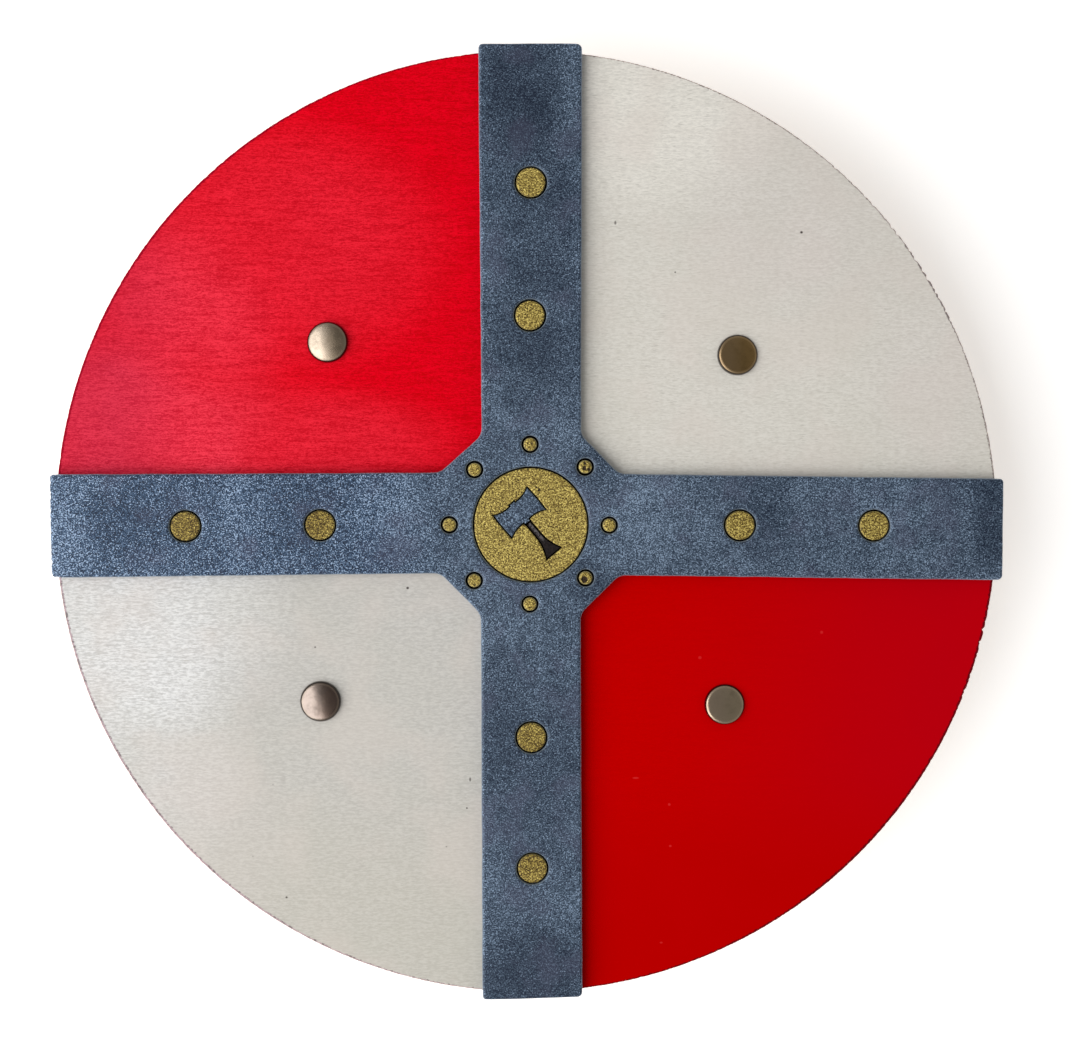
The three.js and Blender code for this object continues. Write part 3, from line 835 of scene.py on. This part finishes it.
def hand_cut(loop, hole):
    """The outline with an edge that wanders a little, and is torn at the far left."""
    moved = []
    for point, move in zip(loop, inward(loop, hole)):
        wander = abs(drift(point, WANDER_LENGTH, 1)) + 0.3 * abs(drift(point, WANDER_LENGTH / 4, 10))
        far_left = min(max((-point.x - TEARS_START) / (TEARS_FULL - TEARS_START), 0), 1)
        torn = TEAR_DEPTH * abs(drift(point, TEAR_SIZE, 6)) * far_left
        moved.append(point + move * (WANDER * wander + torn))
    return moved


def make_foam(name, node, material, ease, step, top=FOAM_TOP, grow=0.0, by_hand=False):
    """A piece of foam on its node's outline, with the outer edge moved out by grow."""
    loops = [smooth_outline(loop, step) for loop in foot_loops(node)]
    outer = largest(loops)
    grown = [point - move * grow for point, move in zip(outer, inward(outer, False))]
    loops = [grown if loop is outer else loop for loop in loops]
    if by_hand:
        loops = [hand_cut(loop, loop is not grown) for loop in loops]
    form = slab(loops, eased_profile(FACE, top, 0, ease, 4))
    add_piece(name, mesh_from(form, name), [node], [material])


# ---------------------------------------------------------------- rivets

# How each cap sits and has aged: its tilt to the right and upwards (degrees), its colour on the left,
# lighter as a painted highlight, and on the right, darker as painted shade, and its roughness.
RIVETS = {
    ("grip", "top"): ((-4.5, 0.5), (0.44, 0.365, 0.29), (0.255, 0.198, 0.14), 0.27),
    ("grip", "bottom"): ((-3.0, 0.0), (0.26, 0.215, 0.19), (0.15, 0.108, 0.088), 0.20),
    ("arm", "top"): ((3.0, 4.0), (0.35, 0.235, 0.12), (0.31, 0.195, 0.075), 0.22),
    ("arm", "bottom"): ((3.0, 4.0), (0.47, 0.37, 0.27), (0.43, 0.345, 0.235), 0.22),
}

# The peened end as radius and height over its foot, and the cap's edge as the distance from its
# full radius and the height over the board's face; all in mm.
PEENED_END = ((0, 0), (1.4, 0), (2.4, 0.2), (3.0, 0.6), (3.2, 1.1))
CAP_EDGE = ((-0.6, 0), (-0.2, 0.2), (0, 0.5), (0, 0.75))
SHANK_RADIUS = 2.0 * MM
# The caps are this much wider than in the CAD part, and end this far under its top.
CAP_GROWTH = 1.03
UNDER_CAD_TOP = 0.1 * MM
# The crown rises by this over the shoulder, which is the tighter the higher its power is.
CROWN = 0.55 * MM
SHOULDER_POWER = 22
DOME_STEPS = 20
# A tilted cap reaches its full tilt at this height over its edge.
TILT_RISE = 0.8 * MM

WASHER_HOLE = 2.3 * MM
WASHER_BEVEL = 0.25 * MM


def low_dome(radius, low, high):
    """(radius, height) pairs up a cap with a round shoulder and a low crown, short of its top."""
    profile = []
    for k in range(1, DOME_STEPS):
        share = math.sqrt(math.cos(math.pi / 2 * k / DOME_STEPS))
        shoulder = (high - low - CROWN) * math.sqrt(1 - share ** SHOULDER_POWER)
        profile.append((radius * share, low + shoulder + CROWN * (1 - share * share)))
    return profile


def tilt_cap(form, centre, rim, tilt):
    """Tilts what is above the rim of a cap, as when it was set a little askew."""
    rise_x, rise_y = (math.tan(math.radians(-angle)) for angle in tilt)
    for vertex in form.verts:
        if vertex.co.z > rim:
            away = vertex.co.xy - centre.xy
            lift = away.x * rise_x + away.y * rise_y
            vertex.co.z += lift * min((vertex.co.z - rim) / TILT_RISE, 1)


def make_rivet(loop, end):
    """One domed rivet through the board, cap, shank and peened end in one."""
    node = f"rivet_{loop}_{end}"
    low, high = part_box(node)
    washer_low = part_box(f"washer_{loop}_{end}")[0]
    centre = middle(f"washer_{loop}_{end}")
    tilt, lit_left_colour, shaded_right_colour, roughness = RIVETS[loop, end]
    cap_radius = CAP_GROWTH * (high.y - low.y) / 2
    tail = [(radius * MM, low.z + height * MM) for radius, height in PEENED_END]
    tail += [(tail[-1][0], washer_low.z), (SHANK_RADIUS, washer_low.z), (SHANK_RADIUS, FACE)]
    cap = [(cap_radius + aside * MM, FACE + height * MM) for aside, height in CAP_EDGE]
    rim = cap[-1][1]
    top = high.z - UNDER_CAD_TOP
    form = turned(tail + cap + low_dome(cap_radius, rim, top) + [(0, top)], centre)
    tilt_cap(form, centre, rim, tilt)
    mesh = mesh_from(form, node)
    shares = mesh.attributes.new("edge_share", "FLOAT", "POINT").data
    for vertex, share in zip(mesh.vertices, shares):
        share.value = (vertex.co.xy - centre.xy).length / cap_radius
    brass = aged_brass(f"{node}_brass", lit_left_colour, shaded_right_colour, centre.x, roughness)
    add_piece(f"{node}_turned", mesh, [node], [brass])


def make_washer(loop, end):
    """The washer under a rivet's peened end."""
    node = f"washer_{loop}_{end}"
    low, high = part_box(node)
    outer = (high.x - low.x) / 2
    section = [
        (WASHER_HOLE, low.z), (outer - WASHER_BEVEL, low.z), (outer, low.z + WASHER_BEVEL),
        (outer, high.z), (WASHER_HOLE, high.z),
    ]
    mesh = mesh_from(turned(section, middle(node)), node)
    add_piece(f"{node}_turned", mesh, [node], [WASHER_BRASS])


# ---------------------------------------------------------------- leather loops

STRAP_THICKNESS = 3 * MM
STRAP_WIDTHS = {"grip": 28 * MM, "arm": 38 * MM}
# The middle line's bends, and how far a tab goes on either side of its rivet.
BEND_RADIUS, BEND_ANGLE = 14 * MM, math.radians(60)
TAB_INSIDE, TAB_OUTSIDE = 10 * MM, 14 * MM
# The round corners of a tab, the round edge of the band, and how wide the burnished edge is.
TAB_CORNER = 11 * MM
STRAP_EDGE = 0.9 * MM
BURNISHED = 6 * MM
# Into how many steps each bend and corner, a tab, a leg and half of the crown are divided.
BEND_STEPS, TAB_STEPS, LEG_STEPS, CROWN_STEPS = 12, 6, 8, 6


def strap_line(spacing):
    """Stations (along, height, slope) down one half of a loop, from the tab's end to the middle."""
    half = STRAP_THICKNESS / 2
    high, low = BACK - half, half
    leg_drop = high - low - 2 * BEND_RADIUS * (1 - math.cos(BEND_ANGLE))
    upper = spacing / 2 - TAB_INSIDE
    lower = upper - 2 * BEND_RADIUS * math.sin(BEND_ANGLE) - leg_drop / math.tan(BEND_ANGLE)
    end = spacing / 2 + TAB_OUTSIDE
    corner_end = end - TAB_CORNER
    slopes = [BEND_ANGLE * k / BEND_STEPS for k in range(BEND_STEPS + 1)]
    bend = [(BEND_RADIUS * math.sin(slope), BEND_RADIUS * (1 - math.cos(slope)), slope) for slope in slopes]

    quarter = [math.pi / 2 * k / BEND_STEPS for k in range(BEND_STEPS + 1)]
    stations = [(end - TAB_CORNER * (1 - math.cos(a)), high, 0.0) for a in quarter]
    stations += [(corner_end - (corner_end - upper) * k / TAB_STEPS, high, 0.0) for k in range(1, TAB_STEPS)]
    stations += [(upper - along, high - drop, slope) for along, drop, slope in bend]
    leg_start = stations[-1]
    leg_end = (lower + bend[-1][0], low + bend[-1][1], BEND_ANGLE)
    for k in range(1, LEG_STEPS):
        stations.append(tuple(a + (b - a) * k / LEG_STEPS for a, b in zip(leg_start, leg_end)))
    stations += [(lower + along, low + rise, slope) for along, rise, slope in reversed(bend)]
    stations += [(lower * (1 - k / CROWN_STEPS), low, 0.0) for k in range(1, CROWN_STEPS + 1)]
    return stations


def strap_section(half_width):
    """The band's section as (across, through) pairs, with round edges."""
    half = STRAP_THICKNESS / 2
    inner = half_width - STRAP_EDGE
    side = [((-1 + 2 * k / 10) * inner, half) for k in range(11)]
    round_edge = [math.radians(degrees) for degrees in (55, 25, 0, -25, -55)]
    side += [(inner + STRAP_EDGE * math.cos(a), half * math.sin(a)) for a in round_edge]
    return side + [(-across, -through) for across, through in side]


def make_strap(loop):
    """One leather loop from rivet to rivet, with a round tab at each end."""
    node = f"{loop}_strap"
    top, bottom = (middle(f"washer_{loop}_{end}").xy for end in ENDS)
    up = (top - bottom).normalized()
    side = Vector((up.y, -up.x))
    centre = (top + bottom) / 2
    half_line = strap_line((top - bottom).length)
    line = half_line + [(-along, height, -slope) for along, height, slope in reversed(half_line[:-1])]
    form = bmesh.new()
    share_layer = form.verts.layers.float.new("edge_share")
    rings = []
    for along, height, slope in line:
        from_end = line[0][0] - abs(along)
        half_width = STRAP_WIDTHS[loop] / 2
        if from_end < TAB_CORNER:
            half_width -= TAB_CORNER - math.sqrt(max(TAB_CORNER ** 2 - (TAB_CORNER - from_end) ** 2, 0))
        near_end = 1 - from_end / BURNISHED
        ring = []
        for across, through in strap_section(max(half_width, 1.2 * STRAP_EDGE)):
            flat_place = centre + up * (along - through * math.sin(slope)) + side * across
            vertex = form.verts.new((*flat_place, height + through * math.cos(slope)))
            to_side = min(abs(across) / max(half_width, 1e-6), 1)
            near_side = 1 - (1 - to_side) * half_width / BURNISHED
            vertex[share_layer] = max(near_side, near_end, 0.0)
            ring.append(vertex)
        rings.append(ring)
    for first, second in zip(rings, rings[1:]):
        for i in range(len(first)):
            form.faces.new((first[i - 1], first[i], second[i], second[i - 1]))
    form.faces.new(rings[0])
    form.faces.new(reversed(rings[-1]))
    add_piece(f"{node}_leather", mesh_from(form, node), [node], [LEATHER])


# ---------------------------------------------------------------- everything

make_board()
make_foam("foam_cross", "cross", BLUE_FOAM, ease=1.1 * MM, step=0.8 * MM, by_hand=True)
for stud in ARM_STUDS:
    make_foam(f"{stud}_foam", stud, GOLD_FOAM, ease=0.6 * MM, step=0.7 * MM, grow=0.15 * MM)
for stud in RING_STUDS:
    make_foam(f"{stud}_foam", stud, GOLD_FOAM, ease=1.0 * MM, step=0.5 * MM)
make_foam("gold_disc", "centre_disc", GOLD_FOAM, ease=0.5 * MM, step=0.8 * MM, grow=0.05 * MM)
make_foam(
    "axe_head_inlay", "axe_head", BLUE_FOAM, ease=0.35 * MM, step=0.8 * MM, grow=-0.25 * MM,
    top=FOAM_TOP - 0.2 * MM,
)
make_foam(
    "axe_haft_inlay", "axe_haft", DARK_FOAM, ease=0.3 * MM, step=0.8 * MM, grow=-0.25 * MM,
    top=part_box("axe_haft")[1].z - 0.4 * MM,
)
for loop_name in LOOPS:
    for end_name in ENDS:
        make_rivet(loop_name, end_name)
        make_washer(loop_name, end_name)
    make_strap(loop_name)


# ---------------------------------------------------------------- stage, light and camera

FLOOR_REACH = 6.0


def add_object(name, data):
    """A new object in the scene that isn't a piece of the shield."""
    added = bpy.data.objects.new(name, data)
    bpy.context.scene.collection.objects.link(added)
    return added


def make_floor():
    """A light table: pale acrylic, lit softly from below."""
    mesh = bpy.data.meshes.new("floor")
    corners = [(x * FLOOR_REACH, y * FLOOR_REACH, 0) for x, y in ((-1, -1), (1, -1), (1, 1), (-1, 1))]
    mesh.from_pydata(corners, [], [(0, 1, 2, 3)])
    acrylic = Shader(
        "floor_acrylic", Base_Color=(0.93, 0.93, 0.93), Roughness=0.9, Specular_IOR_Level=0.1,
        Emission_Color=(1, 1, 1), Emission_Strength=0.40,
    )
    mesh.materials.append(acrylic.material)
    floor = add_object("floor", mesh)


def make_key_light():
    """One large, soft light from the left and a little below."""
    data = bpy.data.lights.new("key", "AREA")
    data.shape = "RECTANGLE"
    data.size, data.size_y = 2.5, 2.3
    data.energy = 57
    data.color = (1.0, 0.99, 0.98)
    light = add_object("key", data)
    light.location = (-1.37, -0.48, 1.48)
    light.rotation_euler = (Vector((0, 0, FACE)) - light.location).to_track_quat("-Z", "Y").to_euler()


def make_world():
    """Slightly warm light from all around, dim overhead and brighter towards the horizon."""
    at_horizon, overhead = 0.74, 0.24
    world = bpy.data.worlds.new("studio")
    world.use_nodes = True
    tree = world.node_tree
    background = tree.nodes["Background"]
    background.inputs["Color"].default_value = (1.0, 0.99, 0.975, 1)
    direction = tree.nodes.new("ShaderNodeTexCoord").outputs["Generated"]
    split = tree.nodes.new("ShaderNodeSeparateXYZ")
    fall = tree.nodes.new("ShaderNodeMapRange")
    fall.inputs["To Min"].default_value = at_horizon
    fall.inputs["To Max"].default_value = overhead
    tree.links.new(direction, split.inputs[0])
    tree.links.new(split.outputs["Z"], fall.inputs["Value"])
    tree.links.new(fall.outputs["Result"], background.inputs["Strength"])
    bpy.context.scene.world = world


def make_camera():
    """A view from straight in front, a touch to the left and above, and turned by a hair."""
    aim = Vector((4.1 * MM, 1.7 * MM, FACE))
    distance = 0.8
    back = Vector((-0.0294, 0.0290, 0.99915)).normalized()
    upwards = Vector((0.0017, 1, 0))
    data = bpy.data.cameras.new("camera")
    data.sensor_width = 36
    data.lens = 67.9
    camera = add_object("camera", data)
    up = (upwards - back * back.y).normalized()
    axes = Matrix((up.cross(back), up, back)).transposed()
    camera.location = aim + back * distance
    camera.rotation_euler = axes.to_euler()
    bpy.context.scene.camera = camera


make_floor()
make_key_light()
make_world()
make_camera()
bpy.context.scene.view_settings.view_transform = "Standard"
